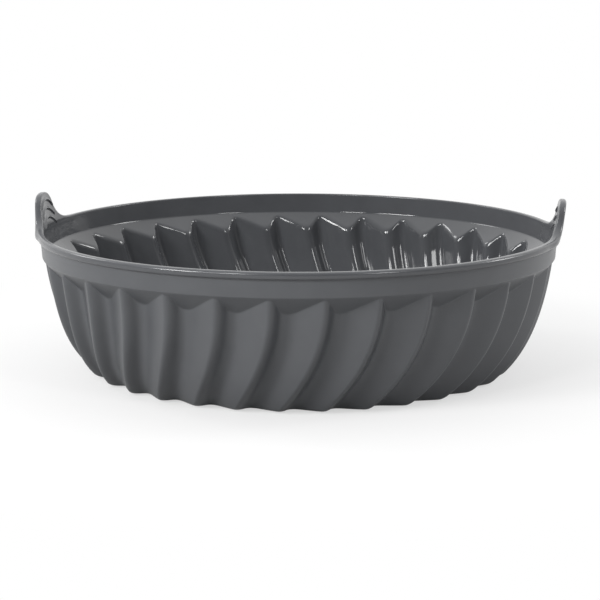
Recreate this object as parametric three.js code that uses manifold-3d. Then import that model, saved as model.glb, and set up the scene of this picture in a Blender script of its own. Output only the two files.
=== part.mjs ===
import * as THREE from 'three';
import { mergeVertices } from 'three/addons/utils/BufferGeometryUtils.js';
import Module from 'manifold-3d';

// Round silicone air fryer pan: a bowl of 32 swirled flutes that die into a sloping shoulder, an upright
// rim band with a rolled bead, and two soft grip tabs on the X axis. Millimetres, +Z up, the underside of
// the floor on z = 0 and the bowl's axis on Z.

// Rim
const rimDiameter = 200;
const rimHeight = 53.5;
const beadHeight = 2.6;
const beadProjection = 1.15;
const lipThickness = 2.5;
const lipRounding = 0.5;
const beadRounding = 0.9;
const bandHeight = 9.15;
const bandThickness = 1.5;
const bandDraft = 0.45;
const bandEdgeChamfer = 0.3;
const ledgeFillet = 0.8;

// Shell
const wallThickness = 2.3;
const floorThickness = 2.4;
const shoulderThickness = 2;
const shoulderSlope = THREE.MathUtils.degToRad(46);
const crestStepIn = 0.52;
const baseDiameter = 158.6;
const baseEdgeRounding = 0.8;
const bellyHeight = 12.5;
const bellyInset = 3.7;

// Flutes
const fluteCount = 32;
const fluteDepth = 5;
const steepShare = 0.22;
const bluntRounding = 0.11;
const sharpRounding = 0.08;
const swirl = THREE.MathUtils.degToRad(9.95);
const swirlEasing = 1.7;
const shoulderFootDrop = 1.8;

// Drain ribs on the floor
const ribCount = 16;
const ribWidth = 3;
const ribHeight = 1.6;
const ribInnerRadius = 22;
const ribEdgeGap = 10;
const ribRootDepth = 0.6;

// Handles
const handleHeight = 12.4;
const handleRootWidth = 56;
const handleSweep = 23;
const handleCrown = 15.5;
const handleStepOut = 0.6;
const handleLean = THREE.MathUtils.degToRad(4);
const tabThickness = 1.9;
const rootHeight = 3;
const featherHeight = 0.35;
const edgeBeadWidth = 1.8;
const edgeBeadProud = 0.5;
const edgeMargin = 0.1;
const ridgeCount = 3;
const ridgeWidth = 1.2;
const ridgeProud = 0.8;
const ridgePitch = 2.2;
const ridgeSpan = 23;
const ridgeDrop = 2.6;
const ridgeFootGap = 0.5;

// Facets
const wallSteps = 4;
const levelCrowding = 1.25;
const roundSides = 56;
const arcSteps = 3;
const edgeSteps = 2;
const tabColumns = 16;
const sweepSteps = 8;

// Worked out from the sizes above
const beadRadius = rimDiameter / 2;
const lipInnerRadius = beadRadius - lipThickness;
const beadFootHeight = rimHeight - beadHeight;
const bandTopRadius = beadRadius - beadProjection;
const bandFootRadius = bandTopRadius - bandDraft;
const bandFootHeight = rimHeight - bandHeight;
const coneTopRadius = bandFootRadius - bandEdgeChamfer;
const coneTopHeight = bandFootHeight - bandEdgeChamfer;
const crestTopRadius = coneTopRadius - crestStepIn;
const crestBaseRadius = baseDiameter / 2;
const slopeTangent = Math.tan(shoulderSlope);
const coneLift = shoulderThickness / Math.cos(shoulderSlope);
const ledgeRadius = bandFootRadius - bandThickness;
const ledgeHeight = coneTopHeight + coneLift + (ledgeRadius - coneTopRadius) * slopeTangent;
const shoulderFoot = coneTopHeight - (fluteDepth + crestStepIn) * slopeTangent - shoulderFootDrop;
const flutePitch = 2 * Math.PI / fluteCount;
const lipFlat = lipThickness - lipRounding - beadRounding;

const silicone = { color: 0x54565a, roughness: 0.55, metalness: 0 };

function lerp(a, b, t) {
  return a + (b - a) * t;
}

// Radius of the flute crests at a height: one quadratic curve, upright at the shoulder, shallow at the floor
function crestRadius(z) {
  const beltRadius = crestTopRadius - bellyInset;
  const a = coneTopHeight - 2 * bellyHeight;
  const b = 2 * (bellyHeight - coneTopHeight);
  const t = (-b - Math.sqrt(b * b - 4 * a * (coneTopHeight - z))) / (2 * a);
  return (1 - t) ** 2 * crestTopRadius + 2 * t * (1 - t) * beltRadius + t * t * crestBaseRadius;
}

// How far the wall leans from upright at a height, as a stretch of its level thickness
function leanStretch(z) {
  const step = 0.5;
  const slope = (crestRadius(z + step) - crestRadius(z)) / step;
  return Math.hypot(1, slope);
}

// Sawtooth of one flute against its phase from the sharp crest: 0 on that crest, 1 in the sharp valley, with
// a parabola rounding each corner
function fluteSection(phase, crestRounding, valleyRounding) {
  const u = phase - Math.floor(phase + 0.5 - steepShare / 2);
  const past = u - steepShare;
  const steep = 1 / steepShare;
  const gentle = -1 / (1 - steepShare);
  const corner = (x, reach, before, after) => before * x + (after - before) * (x + reach) ** 2 / (4 * reach);
  if (Math.abs(u) < crestRounding) return corner(u, crestRounding, gentle, steep);
  if (Math.abs(past) < valleyRounding) return 1 + corner(past, valleyRounding, steep, gentle);
  if (u < 0) return gentle * u;
  return past < 0 ? steep * u : 1 + gentle * past;
}

// Phase of the top of a rounded crest; its height on the sawtooth is the rounding itself
function crestTop(crestRounding) {
  return -crestRounding * (1 - 2 * steepShare);
}

const sharpDepth = fluteDepth / (1 - bluntRounding - sharpRounding);
const steepAngle = Math.atan(sharpDepth / (steepShare * flutePitch * crestTopRadius));
const gentleAngle = Math.atan(sharpDepth / ((1 - steepShare) * flutePitch * crestTopRadius));
const cornerSine = Math.sin(steepAngle + gentleAngle);
const shiftBack = (Math.cos(gentleAngle) - Math.cos(steepAngle)) / cornerSine;
const shiftIn = (Math.sin(gentleAngle) + Math.sin(steepAngle)) / cornerSine;

// A point of the wall at a phase and height; the flutes turn clockwise as they go down
function wallPoint(phase, radius, z) {
  const down = Math.max(0, (coneTopHeight - z) / coneTopHeight);
  const angle = phase * flutePitch - swirl * down ** swirlEasing;
  return new THREE.Vector3(radius * Math.cos(angle), radius * Math.sin(angle), z);
}

function outerWall(u, z) {
  const crest = crestRadius(z);
  const depth = sharpDepth * crest / crestTopRadius;
  const drop = fluteSection(u, bluntRounding, sharpRounding) - bluntRounding;
  return wallPoint(u - crestTop(bluntRounding), crest - depth * drop, z);
}

// The inner wall is the same sawtooth moved in until both of its sides lie a wall's thickness from the outer
// one, blunt where the outer wall is sharp
function innerWall(u, z) {
  const crest = crestRadius(z);
  const depth = sharpDepth * crest / crestTopRadius;
  const level = wallThickness * leanStretch(z);
  const drop = fluteSection(u, sharpRounding, bluntRounding) - bluntRounding;
  const back = level * shiftBack / (flutePitch * crest);
  return wallPoint(u - crestTop(bluntRounding) - back, crest - level * shiftIn - depth * drop, z);
}

// Where a wall line meets the shoulder's cone
function onCone(wall, u, lift) {
  let z = coneTopHeight;
  for (let i = 0; i < 12; i += 1) {
    const p = wall(u, z);
    z = coneTopHeight + lift + (Math.hypot(p.x, p.y) - coneTopRadius) * slopeTangent;
  }
  return wall(u, z);
}

// Places round the bowl where a section is sampled, closer together at its corners
function samplePhases(crestRounding, valleyRounding) {
  const gentleStart = steepShare + valleyRounding;
  const inFlute = [
    -crestRounding, crestTop(crestRounding), crestRounding, steepShare - valleyRounding, steepShare, gentleStart,
    (gentleStart + 1 - crestRounding) / 2,
  ];
  const all = [];
  for (let k = 0; k < fluteCount; k += 1) all.push(...inFlute.map((u) => k + u));
  return all;
}

const outerPhases = samplePhases(bluntRounding, sharpRounding);
const innerPhases = samplePhases(sharpRounding, bluntRounding);

function outerRing(place) {
  return outerPhases.map((u) => place(u));
}

function innerRing(place) {
  return innerPhases.map((u) => place(u));
}

// A circle of points at the phases of a ring, so that the two join without a twist
function circleAt(radius, z) {
  return (u) => wallPoint(u - crestTop(bluntRounding), radius, Math.max(z, coneTopHeight)).setZ(z);
}

function bodyFrom(points, triangles) {
  const geometry = new THREE.BufferGeometry();
  geometry.setAttribute('position', new THREE.Float32BufferAttribute(points.flatMap((p) => [p.x, p.y, p.z]), 3));
  geometry.setIndex(triangles);
  return geometry;
}

// Joins rings of points, each to the next; a closed loop of rings joins the last to the first, and an open
// one is capped by a fan at each end
function loft(rings, closed) {
  const n = rings[0].length;
  const points = rings.flat();
  const triangles = [];
  const last = closed ? rings.length : rings.length - 1;
  for (let j = 0; j < last; j += 1) {
    const a = j * n;
    const b = ((j + 1) % rings.length) * n;
    for (let i = 0; i < n; i += 1) {
      const k = (i + 1) % n;
      triangles.push(a + i, a + k, b + k, a + i, b + k, b + i);
    }
  }
  if (!closed) {
    const top = (rings.length - 1) * n;
    points.push(new THREE.Vector3(0, 0, rings[0][0].z), new THREE.Vector3(0, 0, rings.at(-1)[0].z));
    for (let i = 0; i < n; i += 1) {
      const k = (i + 1) % n;
      triangles.push(points.length - 2, k, i, points.length - 1, top + i, top + k);
    }
  }
  return bodyFrom(points, triangles);
}

const wasm = await Module();
wasm.setup();

function toSolid(geometry) {
  const bare = geometry.clone();
  bare.deleteAttribute('normal');
  bare.deleteAttribute('uv');
  const merged = mergeVertices(bare, 1e-4);
  return new wasm.Manifold(new wasm.Mesh({
    numProp: 3,
    vertProperties: new Float32Array(merged.attributes.position.array),
    triVerts: new Uint32Array(merged.index.array),
  }));
}

function join(geometry, additions) {
  let solid = toSolid(geometry);
  for (const addition of additions) solid = solid.add(toSolid(addition));
  const mesh = solid.getMesh();
  const joined = new THREE.BufferGeometry();
  joined.setAttribute('position', new THREE.Float32BufferAttribute(mesh.vertProperties, 3));
  joined.setIndex(Array.from(mesh.triVerts));
  return joined;
}

// Floor: a scalloped disc with a rounded lower edge, and low ribs standing on it
function floorPanel() {
  const rings = [];
  for (let i = 0; i <= edgeSteps; i += 1) {
    const turn = (i / edgeSteps) * Math.PI / 2;
    const z = floorThickness * i / edgeSteps;
    const inset = baseEdgeRounding * (1 - Math.sin(turn));
    rings.push(outerRing((u) => {
      const p = outerWall(u, floorThickness);
      const wall = outerWall(u, z);
      const reach = Math.hypot(wall.x, wall.y) - inset;
      return p.multiplyScalar(reach / Math.hypot(p.x, p.y)).setZ(z);
    }));
  }
  return join(loft(rings, false), drainRibs());
}

function drainRibs() {
  const ribOuterRadius = crestBaseRadius - fluteDepth - wallThickness - ribEdgeGap;
  const half = ribWidth / 2;
  const outline = new THREE.Shape();
  outline.moveTo(ribInnerRadius, -half);
  outline.lineTo(ribOuterRadius, -half);
  outline.absarc(ribOuterRadius, 0, half, -Math.PI / 2, Math.PI / 2);
  outline.lineTo(ribInnerRadius, half);
  outline.absarc(ribInnerRadius, 0, half, Math.PI / 2, 3 * Math.PI / 2);
  const ribs = [];
  for (let i = 0; i < ribCount; i += 1) {
    const rib = new THREE.ExtrudeGeometry(outline, {
      depth: ribHeight + ribRootDepth, bevelEnabled: false, curveSegments: arcSteps,
    });
    rib.translate(0, 0, floorThickness - ribRootDepth);
    rib.rotateZ(i * 2 * Math.PI / ribCount);
    ribs.push(rib);
  }
  return ribs;
}

// Wall: a loft of sections from the floor up to the foot of the shoulder
function flutedWall() {
  const levels = [];
  for (let i = 0; i <= wallSteps; i += 1) {
    levels.push(lerp(floorThickness, shoulderFoot, (i / wallSteps) ** levelCrowding));
  }
  const outer = levels.map((z) => outerRing((u) => outerWall(u, z)));
  const inner = levels.map((z) => innerRing((u) => innerWall(u, z))).reverse();
  return loft([...outer, ...inner], true);
}

// Shoulder: the flutes run up into the underside and the top of one sloping cone
function shoulder() {
  const rings = [
    outerRing((u) => outerWall(u, shoulderFoot)),
    outerRing((u) => onCone(outerWall, u, 0)),
    outerRing(circleAt(coneTopRadius, coneTopHeight)),
    outerRing(circleAt(bandFootRadius, bandFootHeight)),
    outerRing(circleAt(bandRadius(ledgeHeight), ledgeHeight)),
    innerRing(circleAt(ledgeRadius, ledgeHeight)),
    innerRing((u) => onCone(innerWall, u, coneLift)),
    innerRing((u) => innerWall(u, shoulderFoot)),
  ];
  return loft(rings, true);
}

function bandRadius(z) {
  return bandFootRadius + bandDraft * (z - bandFootHeight) / (beadFootHeight - bandFootHeight);
}

// A turned piece whose closed section is given as radius and height, outer side first
function turned(section) {
  const closed = [...section, section[0]];
  return new THREE.LatheGeometry(closed, roundSides).rotateX(Math.PI / 2);
}

function arc(cx, cy, radius, from, to) {
  const curve = new THREE.EllipseCurve(cx, cy, radius, radius, from, to, to < from);
  return curve.getPoints(arcSteps);
}

const bandInnerTop = lipInnerRadius - lipRounding;

// Band: drafted outside, with a fillet inside where it meets the ledge
function rimBand() {
  const filletTop = ledgeHeight + ledgeFillet;
  const fillet = new THREE.QuadraticBezierCurve(
    new THREE.Vector2(lerp(ledgeRadius, bandInnerTop, ledgeFillet / (beadFootHeight - ledgeHeight)), filletTop),
    new THREE.Vector2(ledgeRadius + lipRounding, ledgeHeight + lipRounding),
    new THREE.Vector2(ledgeRadius, ledgeHeight),
  );
  return turned([
    new THREE.Vector2(bandRadius(ledgeHeight), ledgeHeight),
    new THREE.Vector2(bandTopRadius, beadFootHeight),
    new THREE.Vector2(bandInnerTop, beadFootHeight),
    ...fillet.getPoints(arcSteps).slice(0, -1),
    new THREE.Vector2(ledgeRadius, ledgeHeight),
  ]);
}

// Bead: a square-shouldered roll outside, eased on its inner edge
function rimBead() {
  const cornerRadius = beadRadius - beadRounding;
  return turned([
    new THREE.Vector2(bandTopRadius, beadFootHeight),
    ...arc(cornerRadius, beadFootHeight + beadRounding, beadRounding, -Math.PI / 2, 0),
    ...arc(cornerRadius, rimHeight - beadRounding, beadRounding, 0, Math.PI / 2),
    ...arc(lipInnerRadius + lipRounding, rimHeight - lipRounding, lipRounding, Math.PI / 2, Math.PI),
    new THREE.Vector2(bandInnerTop, beadFootHeight),
  ]);
}

// Bell outline of a handle over the lip: a concave sweep out of the rim that rolls into a crowned top
const halfBell = new THREE.CubicBezierCurve(
  new THREE.Vector2(handleRootWidth / 2, 0),
  new THREE.Vector2(handleRootWidth / 2 - handleSweep, 0),
  new THREE.Vector2(handleCrown, handleHeight),
  new THREE.Vector2(0, handleHeight),
);

// Curve parameter at which the bell stands at a height
function bellAt(height) {
  let low = 0;
  let high = 1;
  for (let i = 0; i < 40; i += 1) {
    const middle = (low + high) / 2;
    if (halfBell.getPoint(middle).y < height) low = middle;
    else high = middle;
  }
  return low;
}

// Places a handle point: along the lip, up from it and out through the tab's thickness
function onHandle(along, up, out) {
  const stepOut = handleStepOut * Math.min(1, up / rootHeight);
  const radius = lipInnerRadius + lipRounding + stepOut + up * Math.tan(handleLean) + out;
  const angle = along / beadRadius;
  return new THREE.Vector3(radius * Math.cos(angle), radius * Math.sin(angle), rimHeight + up);
}

// A handle is as thick as the flat of the lip at its foot and full where the tab begins
function handleThickness(up) {
  return lerp(lipFlat, tabThickness, Math.min(1, up / rootHeight));
}

// A strip of columns under the bell, between a foot and a ceiling
function bellStrip(foot, ceiling) {
  const start = bellAt(foot + featherHeight);
  const half = [];
  for (let i = 0; i <= tabColumns / 2; i += 1) half.push(halfBell.getPoint(lerp(start, 1, 2 * i / tabColumns)));
  const tops = [...half, ...half.slice(0, -1).reverse().map((p) => new THREE.Vector2(-p.x, p.y))];
  const columns = tops.map((top) => {
    const up = Math.min(top.y, ceiling);
    return [
      onHandle(top.x, foot, 0), onHandle(top.x, foot, handleThickness(foot)),
      onHandle(top.x, up, handleThickness(up)), onHandle(top.x, up, 0),
    ];
  });
  return bar(columns);
}

// A bar of four-cornered sections, each joined to the next, with flat ends
function bar(sections) {
  const points = sections.flat();
  const triangles = [0, 2, 1, 0, 3, 2];
  for (let c = 0; c + 1 < sections.length; c += 1) {
    for (let i = 0; i < 4; i += 1) {
      const k = (i + 1) % 4;
      const a = 4 * c;
      const b = 4 * (c + 1);
      triangles.push(a + i, a + k, b + k, a + i, b + k, b + i);
    }
  }
  const end = points.length - 4;
  triangles.push(end, end + 1, end + 2, end, end + 2, end + 3);
  return bodyFrom(points, triangles);
}

// A low rib with a square section, standing on a tab along a path of points on its face
function faceRib(path, width, outFrom, outTo) {
  const columns = path.map((p, i) => {
    const ahead = path[Math.min(i + 1, path.length - 1)];
    const behind = path[Math.max(i - 1, 0)];
    const along = ahead.clone().sub(behind).normalize().multiplyScalar(width);
    const x = p.x + along.y;
    const y = Math.max(p.y - along.x, rootHeight + ridgeFootGap / 2);
    return [onHandle(p.x, p.y, outFrom), onHandle(p.x, p.y, outTo), onHandle(x, y, outTo), onHandle(x, y, outFrom)];
  });
  return bar(columns);
}

// The thick edge outside follows the bell; the grip ridges inside are nested half ellipses
function edgePath() {
  const start = bellAt(rootHeight + ridgeFootGap);
  const path = [];
  for (let i = -sweepSteps; i <= sweepSteps; i += 1) {
    const p = halfBell.getPoint(lerp(1, start, Math.abs(i / sweepSteps)));
    path.push(new THREE.Vector2(Math.sign(i) * (p.x - edgeMargin), p.y - edgeMargin));
  }
  path[sweepSteps].x = 0;
  return path;
}

function archPath(step) {
  const foot = rootHeight + ridgeFootGap;
  const reach = ridgeSpan / 2 - step * ridgePitch;
  const rise = handleHeight - ridgeDrop - step * ridgePitch - foot;
  const curve = new THREE.EllipseCurve(0, foot, reach, rise, Math.PI, 0, true);
  return curve.getPoints(sweepSteps);
}

function handleTab() {
  const sunk = tabThickness / 3;
  const ribs = [faceRib(edgePath(), edgeBeadWidth, tabThickness - sunk, tabThickness + edgeBeadProud)];
  for (let i = 0; i < ridgeCount; i += 1) ribs.push(faceRib(archPath(i), ridgeWidth, -ridgeProud, sunk));
  return join(bellStrip(rootHeight, Infinity), ribs);
}

const pan = new THREE.Group();

function addPiece(name, geometry, turn = 0) {
  const mesh = new THREE.Mesh(geometry, new THREE.MeshStandardMaterial(silicone));
  mesh.name = name;
  mesh.rotation.z = turn;
  pan.add(mesh);
}

addPiece('floor_panel', floorPanel());
addPiece('fluted_wall', flutedWall());
addPiece('shoulder', shoulder());
addPiece('rim_band', rimBand());
addPiece('rim_bead', rimBead());
for (const [side, turn] of [['right', 0], ['left', Math.PI]]) {
  addPiece(`${side}_handle_root`, bellStrip(0, rootHeight), turn);
  addPiece(`${side}_handle_tab`, handleTab(), turn);
}

export default pan;
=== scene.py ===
import math

import bmesh
import bpy
from mathutils import Matrix, Vector


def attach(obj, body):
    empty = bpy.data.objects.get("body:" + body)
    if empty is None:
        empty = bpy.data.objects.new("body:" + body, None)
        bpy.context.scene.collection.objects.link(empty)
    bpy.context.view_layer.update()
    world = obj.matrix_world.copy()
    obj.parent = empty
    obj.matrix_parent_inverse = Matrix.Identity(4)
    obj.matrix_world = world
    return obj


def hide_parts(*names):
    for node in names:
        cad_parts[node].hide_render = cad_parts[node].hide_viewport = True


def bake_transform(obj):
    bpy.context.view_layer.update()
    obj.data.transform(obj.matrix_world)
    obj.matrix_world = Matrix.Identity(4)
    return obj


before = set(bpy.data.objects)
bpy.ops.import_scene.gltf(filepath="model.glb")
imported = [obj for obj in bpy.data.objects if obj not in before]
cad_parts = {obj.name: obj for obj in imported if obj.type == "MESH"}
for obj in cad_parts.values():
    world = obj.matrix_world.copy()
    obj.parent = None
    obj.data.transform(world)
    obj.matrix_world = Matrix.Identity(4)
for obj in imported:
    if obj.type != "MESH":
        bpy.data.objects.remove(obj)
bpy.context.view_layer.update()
metre = 0.001   # the sizes of camera, bowl, handles and ribs are in millimetres
hair = 0.001    # no width is taken to be less than this

# the camera stands where the photo was taken from, a little to the right of the pan's front
shot = {
    "turn": 5.5,          # degrees round the pan from its front
    "back": 747.7,        # level distance from the pan's axis
    "height": 168.1,
    "tilt": 10.826,       # degrees down
    "pan": 0.034,         # degrees left of the pan's axis
    "focal": 117.55,
    "sensor": 36.0,
    "near": 50.0,         # nothing closer than this is drawn
}


def placeCamera():
    turn = math.radians(shot["turn"])
    aim = math.radians(shot["turn"] - shot["pan"])
    tilt = math.radians(shot["tilt"])
    data = bpy.data.cameras.new("shotCamera")
    data.sensor_width = shot["sensor"]
    data.lens = shot["focal"]
    data.clip_start = shot["near"] * metre
    camera = bpy.data.objects.new("shotCamera", data)
    bpy.context.scene.collection.objects.link(camera)
    place = Vector((shot["back"] * math.sin(turn), -shot["back"] * math.cos(turn), shot["height"]))
    look = Vector((-math.sin(aim) * math.cos(tilt), math.cos(aim) * math.cos(tilt), -math.sin(tilt)))
    camera.location = place * metre
    camera.rotation_euler = look.to_track_quat("-Z", "Y").to_euler()
    bpy.context.scene.camera = camera


placeCamera()
print("camera placed")

# the moulding: one shell, from the floor up the fluted wall to the beaded lip
bowl = {
    "rimRadius": 100.0,
    "rimHeight": 53.5,
    "beadHeight": 2.6,
    "beadStep": 1.15,         # how far the bead stands out from the band
    "beadTopRound": 1.2,
    "beadFootRound": 0.8,
    "beadGroove": 0.2,
    "lipWidth": 2.5,
    "lipRound": 0.5,
    "bandHeight": 9.15,
    "bandDraft": 0.45,
    "bandFoot": 0.3,
    "bandWall": 1.5,
    "patchDepth": 5.5,        # the handles take over from this far below the lip
    "patchTurn": 22.5,        # degrees to each side of a handle
    "wall": 2.15,
    "shoulderWall": 2.0,
    "floor": 2.4,
    "shoulderSlope": 46.0,
    "ledgeSlope": 40.0,       # the ledge inside is flatter than the shoulder under it
    "crestStep": 0.52,
    "baseRadius": 79.8,
    "baseRound": 2.0,
    "bellyHeight": 12.5,
    "bellyInset": 3.85,
    "ledgeFillet": 0.5,
    "ledgeFilletRun": 0.75,   # how far the fillet runs down the ledge, in its own sizes
    "floorFillet": 4.0,
    "footRise": 0.8,          # height of the roundings at base and floor against their width
    "outerEdge": 0.5,         # rounding where the flutes die into the shoulder
    "outerEdgeLeast": 0.2,    # where the shoulder is narrow: this and a share of its width
    "outerEdgeShare": 0.6,
    "outerEdgeMost": 0.8,     # share of the shoulder that its rounding may take up
    "innerEdge": 1.7,
    "innerEdgeShare": 0.45,
    "edgeClear": 1.6,         # plain rows end this many roundings short of an edge
    "wallRows": 18,
    "bandRow": 0.55,          # place of the row between the band's foot and the handles
    "undersideRings": (0.0, 0.3, 0.55, 0.75, 0.88),
    "ledgeRings": (0.45, 0.85),
    "floorRings": (0.9, 0.78, 0.6, 0.35, 0.0),
    "merge": 0.0005,          # points closer than this become one
}
flutes = {
    "count": 32,
    "swirl": 10.4,            # degrees from the shoulder down to the base
    "turnOut": -0.6,          # degrees the outside is turned against the inside
    # shares of a flute's width; the columns are where it is cut
    "outside": {
        "steepShare": 0.20,
        "crest": 0.10,
        "valleyNear": 0.10,   # rounding of the valley on its steep side
        "valleyFar": 0.30,
        "depth": 7.0,         # of the wave before its crest and valley are rounded
        "swirlEase": 2.3,
        "columns": [-0.10, -0.067, -0.033, 0.0, 0.033, 0.067, 0.10, 0.13, 0.16,
                    0.19, 0.225, 0.26, 0.30, 0.35, 0.42, 0.50, 0.64, 0.78],
    },
    "inside": {
        "steepShare": 0.22,
        "crest": 0.09,
        "valleyNear": 0.13,
        "valleyFar": 0.19,
        "depth": 6.17,
        "swirlEase": 1.85,
        "backShare": 0.8,     # how far the inside is turned back to keep the steep sides thick
        "columns": [-0.09, -0.06, -0.03, 0.0, 0.03, 0.06, 0.09, 0.13, 0.17,
                    0.21, 0.25, 0.29, 0.34, 0.40, 0.48, 0.58, 0.69, 0.80],
    },
}

pitch = 2.0 * math.pi / flutes["count"]
slopeRise = math.tan(math.radians(bowl["shoulderSlope"]))
ledgeRise = math.tan(math.radians(bowl["ledgeSlope"]))
bandTopRadius = bowl["rimRadius"] - bowl["beadStep"]
bandFootRadius = bandTopRadius - bowl["bandDraft"]
bandFootHeight = bowl["rimHeight"] - bowl["bandHeight"]
beadFoot = bowl["rimHeight"] - bowl["beadHeight"]
coneRadius = bandFootRadius - bowl["bandFoot"]
coneHeight = bandFootHeight - bowl["bandFoot"]
crestTopRadius = coneRadius - bowl["crestStep"]
lipInner = bowl["rimRadius"] - bowl["lipWidth"]
ledgeRadius = bandFootRadius - bowl["bandWall"]
coneLift = bowl["shoulderWall"] / math.cos(math.radians(bowl["shoulderSlope"]))
ledgeHeight = coneHeight + coneLift + (ledgeRadius - coneRadius) * slopeRise
innerForm = flutes["inside"]
outerForm = flutes["outside"]
steepAngle = math.atan(innerForm["depth"] / (innerForm["steepShare"] * pitch * crestTopRadius))
gentleAngle = math.atan(innerForm["depth"] / ((1 - innerForm["steepShare"]) * pitch * crestTopRadius))
cornerSine = math.sin(steepAngle + gentleAngle)
shiftBack = (math.cos(gentleAngle) - math.cos(steepAngle)) / cornerSine
shiftIn = (math.sin(gentleAngle) + math.sin(steepAngle)) / cornerSine


def mix(a, b, t):
    return a + (b - a) * t


def ease(t):
    t = max(0.0, min(1.0, t))
    return t * t * (3 - 2 * t)


def bend(p, q, r, count):   # points of a rounded corner q between p and r
    return [tuple(mix(mix(a, b, i / count), mix(b, c, i / count), i / count) for a, b, c in zip(p, q, r))
            for i in range(count + 1)]


def crestRadius(z):   # one curve from the shoulder over the belly to the base
    belt = crestTopRadius - bowl["bellyInset"]
    a = coneHeight - 2 * bowl["bellyHeight"]
    b = 2 * (bowl["bellyHeight"] - coneHeight)
    t = (-b - math.sqrt(max(0.0, b * b - 4 * a * (coneHeight - z)))) / (2 * a)
    return (1 - t) ** 2 * crestTopRadius + 2 * t * (1 - t) * belt + t * t * bowl["baseRadius"]


def leanStretch(z):   # a level cut through the leaning wall is this much thicker
    rise = 0.5
    return math.hypot(1, (crestRadius(z + rise) - crestRadius(z)) / rise)


def fluteDrop(phase, form):   # 0 on the sharp crest, 1 in the sharp valley
    steepShare = form["steepShare"]
    soft = form["crest"]
    near = form["valleyNear"]
    far = form["valleyFar"]
    u = phase - math.floor(phase + 0.5 - steepShare / 2)
    past = u - steepShare
    steep = 1 / steepShare
    gentle = -1 / (1 - steepShare)
    if abs(u) < soft:
        return gentle * u + (steep - gentle) * (u + soft) ** 2 / (4 * soft)
    if -near < past < far:
        t = (math.sqrt(near * near + (far - near) * (near + past)) - near) / (far - near)
        return (1 - t) ** 2 * (1 - steep * near) + 2 * t * (1 - t) + t * t * (1 + gentle * far)
    if u < 0:
        return gentle * u
    return steep * u if past < 0 else 1 + gentle * past


crestDrop = outerForm["crest"]   # how far the rounded crest lies below the sharp one
crestTop = -crestDrop * (1 - 2 * outerForm["steepShare"])   # where across the flute it is highest


def swirlAt(z, form):
    down = max(0.0, (coneHeight - z) / coneHeight)
    return math.radians(flutes["swirl"]) * down ** form["swirlEase"]


def outerWall(phase, z):   # angle and radius of the outside at a height
    crest = crestRadius(z)
    drop = outerForm["depth"] * (fluteDrop(phase, outerForm) - crestDrop)
    turn = math.radians(flutes["turnOut"]) - swirlAt(z, outerForm)
    return (phase - crestTop) * pitch + turn, crest * (1 - drop / crestTopRadius)


def innerWall(phase, z):   # the same of the inside
    crest = crestRadius(z)
    level = bowl["wall"] * leanStretch(z)
    drop = innerForm["depth"] * (fluteDrop(phase, innerForm) - crestDrop)
    back = innerForm["backShare"] * level * shiftBack / (pitch * crest)
    return ((phase - crestTop - back) * pitch - swirlAt(z, innerForm),
            crest * (1 - drop / crestTopRadius) - level * shiftIn)


meetRounds = 14   # enough to settle on the meeting height


# height where a wall line runs into the shoulder or the ledge
def meetingHeight(wall, phase, radius, height, rise):
    z = height
    for i in range(meetRounds):
        z = height + (wall(phase, z)[1] - radius) * rise
    return z


def bandRadius(z):
    return bandFootRadius + bowl["bandDraft"] * (z - bandFootHeight) / (beadFoot - bandFootHeight)


def innerBandRadius(z):
    top = bowl["rimHeight"] - bowl["lipRound"]
    return mix(ledgeRadius, lipInner, (z - ledgeHeight) / (top - ledgeHeight))


def arcPoints(cx, cz, radius, fromAngle, toAngle, count):
    points = []
    for i in range(count + 1):
        a = math.radians(mix(fromAngle, toAngle, i / count))
        points.append((cx + radius * math.cos(a), cz + radius * math.sin(a)))
    return points


def beadOutline():   # radius and height round the lip, from the groove outside to the band inside
    groove = bowl["beadGroove"]
    below = bowl["beadFootRound"]
    above = bowl["beadTopRound"]
    inside = bowl["lipRound"]
    top = bowl["rimHeight"]
    points = bend((bandRadius(beadFoot - groove), beadFoot - groove), (bandTopRadius, beadFoot),
                  (bandTopRadius + groove, beadFoot), count=3)
    points += arcPoints(bowl["rimRadius"] - below, beadFoot + below, below, -90, 0, count=4)
    points += arcPoints(bowl["rimRadius"] - above, top - above, above, 0, 90, count=6)
    points += [(mix(lipInner + inside, bowl["rimRadius"] - above, 0.5), top)]
    points += arcPoints(lipInner + inside, top - inside, inside, 90, 180, count=4)
    end = top - bowl["edgeClear"] * inside
    return points + [(innerBandRadius(end), end)]


patchHeight = bowl["rimHeight"] - bowl["patchDepth"]
columnsPerFlute = len(outerForm["columns"])
columnCount = flutes["count"] * columnsPerFlute


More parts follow.
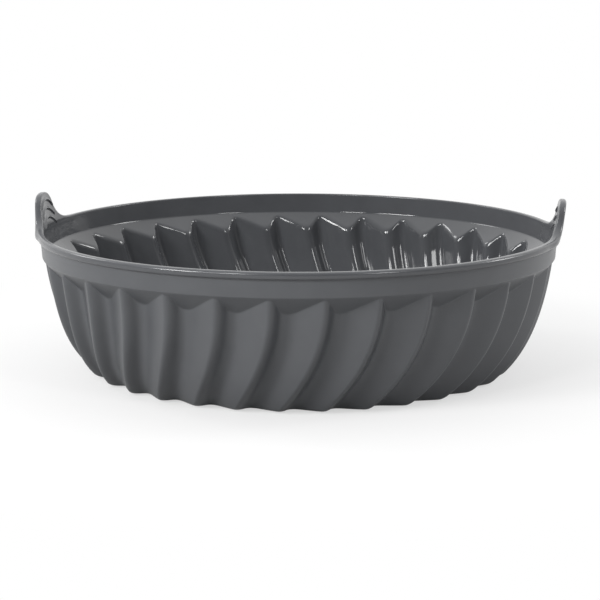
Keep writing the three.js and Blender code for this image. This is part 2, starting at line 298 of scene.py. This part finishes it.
# every row below is an angle, a radius and a height
def outsideRows(u):   # from the middle of the underside to the shoulder's top, at one place across a flute
    rows = []
    edge = bowl["baseRound"]
    footTop = edge * bowl["footRise"]
    baseAngle, baseReach = outerWall(u, 0.0)
    for share in bowl["undersideRings"]:
        rows.append((baseAngle, (baseReach - edge) * share, 0.0))
    footReach = outerWall(u, footTop)[1]
    for r, z in bend((baseReach - edge, 0.0), (baseReach, 0.0), (footReach, footTop), count=5):
        rows.append((outerWall(u, z)[0], r, z))
    # fluted wall, then the rounded edge where it dies into the shoulder
    meet = meetingHeight(outerWall, u, coneRadius, coneHeight, slopeRise)
    meetRadius = outerWall(u, meet)[1]
    room = math.hypot(coneRadius - meetRadius, coneHeight - meet)
    soft = min(bowl["outerEdge"], bowl["outerEdgeShare"] * room + bowl["outerEdgeLeast"])
    wallTop = meet - soft * bowl["edgeClear"]
    for i in range(1, bowl["wallRows"] + 1):
        z = mix(footTop, wallTop, i / bowl["wallRows"])
        rows.append((*outerWall(u, z), z))
    underReach = outerWall(u, meet - soft)[1]
    share = min(bowl["outerEdgeMost"], soft / max(room, hair))
    over = (mix(meetRadius, coneRadius, share), mix(meet, coneHeight, share))
    for r, z in bend((underReach, meet - soft), (meetRadius, meet), over, count=5):
        rows.append((outerWall(u, z)[0], r, z))
    share = mix(share, 1, 0.5)
    z = mix(meet, coneHeight, share)
    rows.append((outerWall(u, z)[0], mix(meetRadius, coneRadius, share), z))
    return rows


def insideRows(u):   # from the fillet of the ledge over the star edge and the wall to the middle of the floor
    rows = []
    meet = meetingHeight(innerWall, u, ledgeRadius, ledgeHeight, ledgeRise)
    meetAngle, meetRadius = innerWall(u, meet)
    turn = meetAngle + swirlAt(meet, innerForm)
    filletTop = ledgeHeight + bowl["ledgeFillet"]
    run = bowl["ledgeFilletRun"] * bowl["ledgeFillet"]
    ledgeEnd = (ledgeRadius - run, ledgeHeight - run * ledgeRise)
    for r, z in bend((innerBandRadius(filletTop), filletTop), (ledgeRadius, ledgeHeight), ledgeEnd, count=6):
        rows.append((turn - swirlAt(z, innerForm), r, z))
    room = math.hypot(ledgeEnd[0] - meetRadius, ledgeEnd[1] - meet)
    soft = min(bowl["innerEdge"], bowl["innerEdgeShare"] * room)
    share = soft / max(room, hair)
    for ring in bowl["ledgeRings"]:
        part = mix(1, share, ring)
        z = mix(meet, ledgeEnd[1], part)
        rows.append((turn - swirlAt(z, innerForm), mix(meetRadius, ledgeEnd[0], part), z))
    over = (mix(meetRadius, ledgeEnd[0], share), mix(meet, ledgeEnd[1], share))
    underReach = innerWall(u, meet - soft)[1]
    for r, z in bend(over, (meetRadius, meet), (underReach, meet - soft), count=5):
        rows.append((turn - swirlAt(z, innerForm), r, z))
    fillet = bowl["floorFillet"]
    fillTop = bowl["floor"] + bowl["footRise"] * fillet
    wallTop = meet - soft * bowl["edgeClear"]
    for i in range(bowl["wallRows"] + 1):
        z = mix(wallTop, fillTop, i / bowl["wallRows"])
        rows.append((*innerWall(u, z), z))
    # fillet of the floor, and the floor itself
    topAngle, topReach = innerWall(u, fillTop)
    floorAngle, cornerReach = innerWall(u, bowl["floor"])
    floorReach = cornerReach - fillet
    corner = bend((topReach, fillTop), (cornerReach, bowl["floor"]), (floorReach, bowl["floor"]), count=6)
    for i, (r, z) in enumerate(corner[1:], 1):
        rows.append((mix(topAngle, floorAngle, i / (len(corner) - 1)), r, z))
    for share in bowl["floorRings"]:
        rows.append((floorAngle, floorReach * share, bowl["floor"]))
    return rows


def shellOutline(step):   # all rows at one column of a flute, and the first and last row beside a handle
    even = pitch * step / columnsPerFlute
    u = outerForm["columns"][step]
    rows = outsideRows(u)
    # foot of the band, the band itself and the lip
    wallTurn = (u - crestTop) * pitch
    reach = bandFootHeight + bowl["bandFoot"]
    bandFoot = (bandFootRadius, bandFootHeight)
    for r, z in bend((coneRadius, coneHeight), bandFoot, (bandRadius(reach), reach), count=5):
        rows.append((wallTurn, r, z))
    z = mix(bandFootHeight, patchHeight, bowl["bandRow"])
    rows.append((mix(wallTurn, even, 0.5), bandRadius(z), z))
    first = len(rows)
    rows.append((even, bandRadius(patchHeight), patchHeight))
    for r, z in beadOutline():
        rows.append((even, r, z))
    rows.append((even, innerBandRadius(patchHeight), patchHeight))
    last = len(rows) - 1
    return rows + insideRows(innerForm["columns"][step]), first, last


def finishMesh(name, bm, finishes):
    bmesh.ops.scale(bm, vec=(metre, metre, metre), verts=bm.verts)
    bmesh.ops.recalc_face_normals(bm, faces=bm.faces)
    mesh = bpy.data.meshes.new(name)
    for face in bm.faces:
        face.smooth = True
    bm.to_mesh(mesh)
    bm.free()
    for skin in finishes:
        mesh.materials.append(skin)
    piece = bpy.data.objects.new(name, mesh)
    bpy.context.scene.collection.objects.link(piece)
    piece.modifiers.new("evenShade", "WEIGHTED_NORMAL")
    print(name, len(mesh.vertices), "points")
    return piece


def plainSheet(columns, rows):   # a flat sheet whose points know their column and row, ready to be pressed
    bm = bmesh.new()
    columnMark = bm.verts.layers.int.new("column")
    rowMark = bm.verts.layers.int.new("row")
    bmesh.ops.create_grid(bm, x_segments=columns, y_segments=rows - 1, size=0.5)
    for vert in bm.verts:
        vert[columnMark] = round((vert.co.x + 0.5) * columns)
        vert[rowMark] = round((vert.co.y + 0.5) * (rows - 1))
    return bm, columnMark, rowMark


silicone = {
    "cloudScale": 95.0,       # soft clouds of tone and polish
    "cloudDetail": 5.0,
    "cloudSpan": (0.3, 0.75),
    "tones": (0.95, 1.06),    # darkest and lightest cloud against the tint
    "poreDetail": 3.0,
    "ior": 1.5,
}


def makeSilicone(name, tint, roughness, grain):
    mat = bpy.data.materials.new(name)
    mat.use_nodes = True
    nodes = mat.node_tree.nodes
    links = mat.node_tree.links
    shader = nodes["Principled BSDF"]
    place = nodes.new("ShaderNodeTexCoord")
    cloud = nodes.new("ShaderNodeTexNoise")
    cloud.inputs["Scale"].default_value = silicone["cloudScale"]
    cloud.inputs["Detail"].default_value = silicone["cloudDetail"]
    tone = nodes.new("ShaderNodeValToRGB")
    for stop, position, share in zip(tone.color_ramp.elements, silicone["cloudSpan"], silicone["tones"]):
        stop.position = position
        stop.color = (*[c * share for c in tint], 1)
    links.new(place.outputs["Object"], cloud.inputs["Vector"])
    links.new(cloud.outputs["Fac"], tone.inputs["Fac"])
    links.new(tone.outputs["Color"], shader.inputs["Base Color"])
    polish = nodes.new("ShaderNodeMapRange")
    polish.inputs["To Min"].default_value = roughness[0]
    polish.inputs["To Max"].default_value = roughness[1]
    links.new(cloud.outputs["Fac"], polish.inputs["Value"])
    links.new(polish.outputs["Result"], shader.inputs["Roughness"])
    pores = nodes.new("ShaderNodeTexNoise")
    pores.inputs["Scale"].default_value = grain["scale"]
    pores.inputs["Detail"].default_value = silicone["poreDetail"]
    links.new(place.outputs["Object"], pores.inputs["Vector"])
    relief = nodes.new("ShaderNodeBump")
    relief.inputs["Strength"].default_value = grain["strength"]
    relief.inputs["Distance"].default_value = grain["depth"]
    links.new(pores.outputs["Fac"], relief.inputs["Height"])
    links.new(relief.outputs["Normal"], shader.inputs["Normal"])
    shader.inputs["IOR"].default_value = silicone["ior"]
    return mat


finish = {
    "outside": {"tint": (0.089, 0.093, 0.1), "roughness": (0.34, 0.42),
                "grain": {"scale": 2600.0, "strength": 0.35, "depth": 0.00005}},
    # painted shade: the inside is the same silicone as the outside, its tint made a little darker
    "inside": {"tint": (0.0775, 0.0805, 0.0865), "roughness": (0.05, 0.08),
               "grain": {"scale": 420.0, "strength": 0.05, "depth": 0.00008}},
    # painted shade: the band is the same silicone as the outside, its tint made a little darker
    "band": {"tint": (0.082, 0.085, 0.0915), "roughness": (0.17, 0.23),
             "grain": {"scale": 900.0, "strength": 0.1, "depth": 0.00006}},
}
matteSilicone = makeSilicone("matteSilicone", **finish["outside"])
glossySilicone = makeSilicone("glossySilicone", **finish["inside"])
satinSilicone = makeSilicone("satinSilicone", **finish["band"])
print("materials made")


def makeBowl():
    finishes = [matteSilicone, glossySilicone, satinSilicone]
    glossy = finishes.index(glossySilicone)
    satin = finishes.index(satinSilicone)
    outlines = [shellOutline(step) for step in range(columnsPerFlute)]
    rows, first, last = outlines[0]
    bm, columnMark, rowMark = plainSheet(columnCount, len(rows))
    # roll the sheet round and press the flutes, the shoulder and the star ledge into it
    for vert in bm.verts:
        flute, step = divmod(vert[columnMark] % columnCount, columnsPerFlute)
        a, r, z = outlines[step][0][vert[rowMark]]
        vert.co = (r * math.cos(a + flute * pitch), r * math.sin(a + flute * pitch), z)
    limit = math.cos(math.radians(bowl["patchTurn"]))
    cut = []
    for face in bm.faces:
        marks = [v[rowMark] for v in face.verts]
        if min(marks) >= first + 2:
            face.material_index = satin if max(marks) <= last + 1 else glossy
        if min(marks) >= first and max(marks) <= last:
            centre = face.calc_center_median()
            if abs(centre.x) / math.hypot(centre.x, centre.y) > limit:
                cut.append(face)
    bmesh.ops.delete(bm, geom=cut, context="FACES")
    bmesh.ops.remove_doubles(bm, verts=bm.verts, dist=bowl["merge"])
    return finishMesh("bowlShell", bm, finishes)


bowlShell = makeBowl()
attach(bowlShell, "pan")
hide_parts("floor_panel", "fluted_wall", "shoulder", "rim_band", "rim_bead")

# the handles: the lip climbs over a bell outline and the band grows up into a grip tab
handle = {
    "height": 12.4,
    "halfRoot": 28.0,
    "sweep": 23.0,
    "crown": 15.5,
    "linePoints": 400,     # of half the bell before it is spaced out evenly
    "stepOut": 1.0,        # how far the handle stands out from the rim
    "stepReach": 32.0,
    "stepFade": 12.0,
    "stepRise": 4.5,
    "stepRiseInside": 9.0,
    "stepRiseLip": 0.6,
    "lean": 5.5,
    "bendRadius": 99.6,    # a radius on the soft web, and two heights on it
    "bendFrom": 53.3,
    "bendTo": 56.7,
    "columns": 220,
    "outerRows": 14,
    "innerRows": 80,
    "ridgeCount": 3,
    "ridgeFirst": 2.6,     # depth of the first ridge below the top
    "ridgePitch": 3.4,
    "ridgeProud": 0.55,
    "ridgeAbove": 0.7,
    "ridgeBelow": 0.7,
    "ridgeBow": 0.038,
    "ridgeReach": 10.2,
    "ridgeFade": 1.5,
}


def bellLine():   # evenly spaced points of the lip's line over a handle: along the rim, and up from it
    half = bowl["rimRadius"] * math.radians(bowl["patchTurn"])
    corners = [(handle["halfRoot"], 0.0), (handle["halfRoot"] - handle["sweep"], 0.0),
               (handle["crown"], handle["height"]), (0.0, handle["height"])]
    right = []
    for i in range(handle["linePoints"] + 1):
        t = i / handle["linePoints"]
        weights = ((1 - t) ** 3, 3 * t * (1 - t) ** 2, 3 * t * t * (1 - t), t ** 3)
        right.append(tuple(sum(w * c[k] for w, c in zip(weights, corners)) for k in (0, 1)))
    line = [(-half, 0.0)] + [(-x, y) for x, y in right] + right[-2::-1] + [(half, 0.0)]
    lengths = [0.0]
    for p, q in zip(line, line[1:]):
        lengths.append(lengths[-1] + math.dist(p, q))
    points = []
    k = 0
    for i in range(handle["columns"] + 1):
        want = lengths[-1] * i / handle["columns"]
        while k + 2 < len(lengths) and lengths[k + 1] < want:
            k += 1
        t = (want - lengths[k]) / (lengths[k + 1] - lengths[k])
        points.append((mix(line[k][0], line[k + 1][0], t), mix(line[k][1], line[k + 1][1], t)))
    return points


def ridgeRise(along, up):   # arched grip ridges, bowed like the top of the tab
    depth = handle["height"] - up - handle["ridgeBow"] * along * along
    nearest = round((depth - handle["ridgeFirst"]) / handle["ridgePitch"])
    nearest = max(0, min(handle["ridgeCount"] - 1, nearest))
    past = depth - handle["ridgeFirst"] - nearest * handle["ridgePitch"]
    rise = ease(1 + past / handle["ridgeAbove"]) if past < 0 else ease(1 - past / handle["ridgeBelow"])
    return handle["ridgeProud"] * rise * ease((handle["ridgeReach"] - abs(along)) / handle["ridgeFade"])


# rows from the band outside, over the lip, to the band inside: part, place in it and, on the lip, radius
def handleOutline(lip):
    rows = []
    for i in range(handle["outerRows"]):
        rows.append(("outer", i / handle["outerRows"], None))
    for r, z in lip:
        rows.append(("lip", bowl["rimHeight"] - z, r))
    for i in range(1, handle["innerRows"] + 1):
        rows.append(("inner", 1 - i / handle["innerRows"], None))
    return rows


def stepAt(kind, r, place):   # how far a point stands out from the rim: at once outside, slowly inside
    along, up = place
    full = handle["stepOut"] * ease((handle["stepReach"] - abs(along)) / handle["stepFade"])
    if kind == "outer":
        return full * ease((up + bowl["patchDepth"]) / handle["stepRise"])
    slow = ease((up + bowl["beadHeight"]) / handle["stepRiseInside"])
    if kind == "inner":
        return full * slow
    quick = ease((up + bowl["beadHeight"]) / handle["stepRiseLip"])
    return full * mix(slow, quick, ease((r - lipInner) / bowl["lipWidth"]))


def makeHandle(side):
    lip = beadOutline()
    lipEnd = {"outer": lip[0][1], "inner": lip[-1][1]}   # heights where the lip's own rows end
    rows = handleOutline(lip)
    line = bellLine()
    bm, columnMark, rowMark = plainSheet(handle["columns"], len(rows))
    lean = math.tan(math.radians(handle["lean"]))
    for vert in bm.verts:
        column = vert[columnMark]
        before = line[max(column - 1, 0)]
        after = line[min(column + 1, handle["columns"])]
        span = math.dist(before, after)
        inward = ((after[1] - before[1]) / span, -(after[0] - before[0]) / span)
        along, up = line[column]
        kind, t, r = rows[vert[rowMark]]
        if kind == "lip":
            place = (along + inward[0] * t, up + inward[1] * t)
        else:
            edge = bowl["rimHeight"] - lipEnd[kind]
            top = (along + inward[0] * edge, up + inward[1] * edge)
            place = (mix(along, top[0], t), mix(-bowl["patchDepth"], top[1], t))
            level = min(bowl["rimHeight"] + place[1], lipEnd[kind])
            r = bandRadius(level) if kind == "outer" else innerBandRadius(level)
        out = stepAt(kind, r, place) + lean * max(0.0, place[1])
        if kind == "inner":
            out -= ridgeRise(place[0], place[1])
        angle = place[0] / bowl["rimRadius"]
        vert.co = ((r + out) * math.cos(angle), (r + out) * math.sin(angle), bowl["rimHeight"] + place[1])
    finishes = [matteSilicone, satinSilicone]
    satin = finishes.index(satinSilicone)
    for face in bm.faces:
        if min(v[rowMark] for v in face.verts) > handle["outerRows"]:
            face.material_index = satin
    sign = 1 if side == "right" else -1
    if sign < 0:
        bmesh.ops.rotate(bm, verts=bm.verts, cent=(0, 0, 0), matrix=Matrix.Rotation(math.pi, 3, "Z"))
    piece = finishMesh(side + "Handle", bm, finishes)
    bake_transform(piece)
    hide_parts(side + "_handle_root", side + "_handle_tab")


for side in ("right", "left"):
    makeHandle(side)

# low ribs that keep food off the floor
ribs = {
    "count": 16,
    "width": 3.0,
    "height": 1.6,
    "inner": 22.0,
    "outer": 62.0,
    "sunk": 0.4,      # how far a rib is rooted in the floor
    "soft": 0.9,
    "sides": 16,
    "softSteps": 4,
}


def makeRibs():
    bm = bmesh.new()
    half = ribs["width"] / 2
    length = ribs["outer"] - ribs["inner"]
    bmesh.ops.create_circle(bm, cap_ends=True, segments=ribs["sides"], radius=half)
    for vert in bm.verts:
        if vert.co.x > hair:
            vert.co.x += length
    bmesh.ops.translate(bm, verts=bm.verts, vec=(ribs["inner"], 0, bowl["floor"] - ribs["sunk"]))
    foot = list(bm.faces)
    lifted = bmesh.ops.extrude_face_region(bm, geom=foot)
    top = [v for v in lifted["geom"] if isinstance(v, bmesh.types.BMVert)]
    bmesh.ops.translate(bm, verts=top, vec=(0, 0, ribs["height"] + ribs["sunk"]))
    edges = [e for e in bm.edges if all(v in top for v in e.verts)]
    bmesh.ops.bevel(bm, geom=edges, offset=ribs["soft"], offset_type="OFFSET", segments=ribs["softSteps"],
                    profile=0.5, affect="EDGES", material=-1)
    one = bm.verts[:] + bm.edges[:] + bm.faces[:]
    wayRound = 2 * math.pi * (1 - 1 / ribs["count"])
    bmesh.ops.spin(bm, geom=one, cent=(0, 0, 0), axis=(0, 0, 1), angle=wayRound, steps=ribs["count"] - 1,
                   use_duplicate=True)
    piece = finishMesh("drainRibs", bm, [glossySilicone])
    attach(piece, "pan")


makeRibs()

# plain pale table, white surroundings and soft studio lamps, with distances in metres
studio = {
    "roomFront": 0.03,        # light from the side of the camera
    "roomBack": 1.1,          # light from the white wall behind and above
    "roomTurn": 0.45,         # how wide the change from front to back is
    "roomLean": 0.3,          # and how much of the ceiling counts as the back
    "horizon": 0.8,           # share of the light that is left near the table's height
    "hazeTop": 0.3,           # a direction as steep as this has all of it
    "tableHalf": 6.0,
    "tableDrop": 0.0003,      # the table lies this little below the pan
    "tableRough": 0.9,
    "table": 0.82,
    "tableBounce": 0.45,      # how much light the table throws back up
    "shadowShare": 0.42,      # how much of the shadow the camera sees
    "shadowFrom": 0.11,       # the shadow fades out between these distances from the pan's axis
    "shadowTo": 0.22,
    "glossFrom": 0.055,       # in reflections the table whitens between these
    "glossTo": 0.165,
    "lampReach": 1.25,
    "lampAim": 0.04,          # height that the lamps are turned to
    # degrees round the pan from its front, and degrees up from the table
    "lamps": [
        {"name": "leftBox", "side": -48.0, "up": 28.0, "size": (0.38, 0.42), "watts": 9.6},
        {"name": "leftStrip", "side": -24.5, "up": 33.0, "size": (0.22, 0.42), "watts": 4.0},
        {"name": "rightBox", "side": 43.0, "up": 31.0, "size": (0.22, 0.36), "watts": 2.4},
        {"name": "backRight", "side": 107.0, "up": 27.0, "size": (0.28, 0.32), "watts": 3.0},
        {"name": "backLeft", "side": -112.0, "up": 33.0, "size": (0.24, 0.30), "watts": 1.8},
    ],
}


def makeRoom(scene):   # white to the camera, brighter behind the pan than in front of it
    world = bpy.data.worlds.new("studioRoom")
    scene.world = world
    world.use_nodes = True
    nodes = world.node_tree.nodes
    links = world.node_tree.links
    place = nodes.new("ShaderNodeTexCoord")
    parts = nodes.new("ShaderNodeSeparateXYZ")
    links.new(place.outputs["Generated"], parts.inputs["Vector"])
    depth = nodes.new("ShaderNodeMapRange")
    depth.inputs["From Min"].default_value = -studio["roomTurn"]
    depth.inputs["From Max"].default_value = studio["roomTurn"]
    depth.inputs["To Min"].default_value = studio["roomFront"]
    depth.inputs["To Max"].default_value = studio["roomBack"]
    lifted = nodes.new("ShaderNodeMath")
    lifted.operation = "MULTIPLY_ADD"
    lifted.inputs[1].default_value = studio["roomLean"]
    links.new(parts.outputs["Z"], lifted.inputs[0])
    links.new(parts.outputs["Y"], lifted.inputs[2])
    links.new(lifted.outputs["Value"], depth.inputs["Value"])
    haze = nodes.new("ShaderNodeMapRange")
    haze.inputs["From Max"].default_value = studio["hazeTop"]
    haze.inputs["To Min"].default_value = studio["horizon"]
    links.new(parts.outputs["Z"], haze.inputs["Value"])
    level = nodes.new("ShaderNodeMath")
    level.operation = "MULTIPLY"
    links.new(depth.outputs["Result"], level.inputs[0])
    links.new(haze.outputs["Result"], level.inputs[1])
    room = nodes["Background"]
    room.inputs["Color"].default_value = (1, 1, 1, 1)
    links.new(level.outputs["Value"], room.inputs["Strength"])
    seen = nodes.new("ShaderNodeBackground")
    seen.inputs["Color"].default_value = (1, 1, 1, 1)
    path = nodes.new("ShaderNodeLightPath")
    pick = nodes.new("ShaderNodeMixShader")
    links.new(path.outputs["Is Camera Ray"], pick.inputs["Fac"])
    links.new(room.outputs["Background"], pick.inputs[1])
    links.new(seen.outputs["Background"], pick.inputs[2])
    links.new(pick.outputs["Shader"], nodes["World Output"].inputs["Surface"])


def makeTable(scene):   # takes the pan's shadow nearby and is plain white further out
    bm = bmesh.new()
    bmesh.ops.create_grid(bm, x_segments=1, y_segments=1, size=studio["tableHalf"])
    mesh = bpy.data.meshes.new("table")
    bm.to_mesh(mesh)
    bm.free()
    table = bpy.data.objects.new("table", mesh)
    scene.collection.objects.link(table)
    table.location.z = -studio["tableDrop"]
    top = bpy.data.materials.new("paleTable")
    top.use_nodes = True
    nodes = top.node_tree.nodes
    links = top.node_tree.links
    paint = nodes["Principled BSDF"]
    paint.inputs["Roughness"].default_value = studio["tableRough"]
    white = nodes.new("ShaderNodeEmission")
    place = nodes.new("ShaderNodeTexCoord")
    reach = nodes.new("ShaderNodeVectorMath")
    reach.operation = "LENGTH"
    links.new(place.outputs["Object"], reach.inputs[0])
    fade = nodes.new("ShaderNodeMapRange")
    fade.interpolation_type = "SMOOTHSTEP"
    fade.inputs["From Min"].default_value = studio["shadowFrom"]
    fade.inputs["From Max"].default_value = studio["shadowTo"]
    fade.inputs["To Min"].default_value = 1 - studio["shadowShare"]
    links.new(reach.outputs["Value"], fade.inputs["Value"])
    path = nodes.new("ShaderNodeLightPath")
    tone = nodes.new("ShaderNodeMapRange")
    tone.inputs["To Min"].default_value = studio["tableBounce"]
    tone.inputs["To Max"].default_value = studio["table"]
    links.new(path.outputs["Is Camera Ray"], tone.inputs["Value"])
    links.new(tone.outputs["Result"], paint.inputs["Base Color"])
    mirrored = nodes.new("ShaderNodeMapRange")
    mirrored.interpolation_type = "SMOOTHSTEP"
    mirrored.inputs["From Min"].default_value = studio["glossFrom"]
    mirrored.inputs["From Max"].default_value = studio["glossTo"]
    links.new(reach.outputs["Value"], mirrored.inputs["Value"])
    sight = nodes.new("ShaderNodeMath")
    sight.operation = "MULTIPLY"
    links.new(path.outputs["Is Camera Ray"], sight.inputs[0])
    links.new(fade.outputs["Result"], sight.inputs[1])
    shown = nodes.new("ShaderNodeMath")
    shown.operation = "MULTIPLY_ADD"
    links.new(path.outputs["Is Glossy Ray"], shown.inputs[0])
    links.new(mirrored.outputs["Result"], shown.inputs[1])
    links.new(sight.outputs["Value"], shown.inputs[2])
    pick = nodes.new("ShaderNodeMixShader")
    links.new(shown.outputs["Value"], pick.inputs["Fac"])
    links.new(paint.outputs["BSDF"], pick.inputs[1])
    links.new(white.outputs["Emission"], pick.inputs[2])
    links.new(pick.outputs["Shader"], nodes["Material Output"].inputs["Surface"])
    mesh.materials.append(top)


def makeStudio():
    scene = bpy.context.scene
    scene.view_settings.view_transform = "Standard"
    makeRoom(scene)
    makeTable(scene)
    middle = Vector((0, 0, studio["lampAim"]))
    for lamp in studio["lamps"]:
        side = math.radians(lamp["side"])
        up = math.radians(lamp["up"])
        away = Vector((math.sin(side) * math.cos(up), -math.cos(side) * math.cos(up), math.sin(up)))
        data = bpy.data.lights.new(lamp["name"], "AREA")
        data.shape = "RECTANGLE"
        data.size, data.size_y = lamp["size"]
        data.energy = lamp["watts"]
        box = bpy.data.objects.new(lamp["name"], data)
        scene.collection.objects.link(box)
        box.location = middle + away * studio["lampReach"]
        box.rotation_euler = (-away).to_track_quat("-Z", "Y").to_euler()


makeStudio()
print("studio lit")
